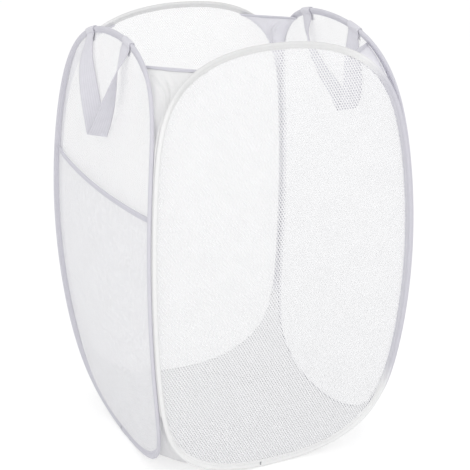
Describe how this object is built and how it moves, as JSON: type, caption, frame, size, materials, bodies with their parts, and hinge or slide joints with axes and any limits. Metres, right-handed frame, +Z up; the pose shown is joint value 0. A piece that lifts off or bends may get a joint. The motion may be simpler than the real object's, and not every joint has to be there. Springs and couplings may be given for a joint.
{
  "type": "pop up laundry hamper",
  "caption": "Upright collapsible mesh hamper: spring wire hoops in folded tape hold bowed mesh panels, with corner gussets, a side pocket and webbing carry loops.",
  "frame": {"origin": "on the floor under the middle of the base", "axes": "+Z up; the front panel faces -Y, the right panel faces +X, and the panel with the side pocket faces -X"},
  "size_m": [0.3846, 0.374, 0.5749],
  "materials": {
    "spring_steel_wire": "bare drawn spring wire",
    "steel_ferrule": "bare crimped tube",
    "grey_tape": "woven polyester binding tape, light grey",
    "lavender_tape": "woven polyester binding tape, grey with a touch of lavender",
    "white_mesh": "fine open polyester mesh, white, see through",
    "base_mesh": "fine close polyester mesh, white",
    "gusset_cloth": "thin close woven polyester, white",
    "webbing": "woven polypropylene webbing, light grey"
  },
  "bodies": {
    "front_panel": {"front_hoop_wire": "spring_steel_wire", "front_wire_ferrule": "steel_ferrule", "front_hoop_binding": "grey_tape", "front_mesh_panel": "white_mesh", "base_cloth": "base_mesh", "front_left_gusset": "gusset_cloth", "front_left_gusset_rim": "lavender_tape", "front_right_gusset": "gusset_cloth", "front_right_gusset_rim": "lavender_tape"},
    "left_panel": {"left_hoop_wire": "spring_steel_wire", "left_wire_ferrule": "steel_ferrule", "left_hoop_binding": "lavender_tape", "left_mesh_panel": "white_mesh", "side_pocket": "white_mesh", "side_pocket_edge": "lavender_tape", "left_handle_end_a": "webbing", "left_handle_end_b": "webbing", "back_left_gusset": "gusset_cloth", "back_left_gusset_rim": "lavender_tape"},
    "right_panel": {"right_hoop_wire": "spring_steel_wire", "right_wire_ferrule": "steel_ferrule", "right_hoop_binding": "lavender_tape", "right_mesh_panel": "white_mesh", "right_handle_end_a": "webbing", "right_handle_end_b": "webbing"},
    "back_panel": {"back_hoop_wire": "spring_steel_wire", "back_wire_ferrule": "steel_ferrule", "back_hoop_binding": "grey_tape", "back_mesh_panel": "white_mesh"},
    "back_right_corner": {"back_right_gusset": "gusset_cloth", "back_right_gusset_rim": "lavender_tape"},
    "left_handle": {"left_handle_loop": "webbing"},
    "right_handle": {"right_handle_loop": "webbing"}
  },
  "joints": [
    {"name": "fold_front_left", "type": "hinge", "parent": "front_panel", "child": "left_panel", "pos_m": [-0.1852, -0.1852, 0.2875], "axis": [0, 0, 1], "range_deg": [0, 55], "stiffness_Nm_per_rad": 0.35, "deforming": ["front_left_gusset", "front_left_gusset_rim", "base_cloth"]},
    {"name": "fold_front_right", "type": "hinge", "parent": "front_panel", "child": "right_panel", "pos_m": [0.167, -0.167, 0.2875], "axis": [0, 0, 1], "range_deg": [0, 55], "deforming": ["front_right_gusset", "front_right_gusset_rim"]},
    {"name": "fold_back_left", "type": "hinge", "parent": "left_panel", "child": "back_panel", "pos_m": [-0.167, 0.167, 0.2875], "axis": [0, 0, 1], "range_deg": [-55, 0], "deforming": ["back_left_gusset", "back_left_gusset_rim"]},
    {"name": "fold_back_right", "type": "hinge", "parent": "back_panel", "child": "back_right_corner", "pos_m": [0.1852, 0.1852, 0.2875], "axis": [0, 0, 1], "range_deg": [0, 55], "deforming": ["back_right_gusset", "back_right_gusset_rim"]},
    {"name": "left_handle_swing", "type": "hinge", "parent": "left_panel", "child": "left_handle", "pos_m": [-0.16189, 0.01507, 0.55464], "axis": [-0.0093, 0.9984, -0.0563], "range_deg": [0, 160]},
    {"name": "right_handle_swing", "type": "hinge", "parent": "right_panel", "child": "right_handle", "pos_m": [0.15222, -0.0019, 0.55357], "axis": [-0.001, 1, 0.005], "range_deg": [0, 150]}
  ],
  "couplings": [
    {"joint": "fold_front_right", "follows": "fold_front_left", "ratio": 1},
    {"joint": "fold_back_left", "follows": "fold_front_left", "ratio": -1},
    {"joint": "fold_back_right", "follows": "fold_front_left", "ratio": 1}
  ]
}
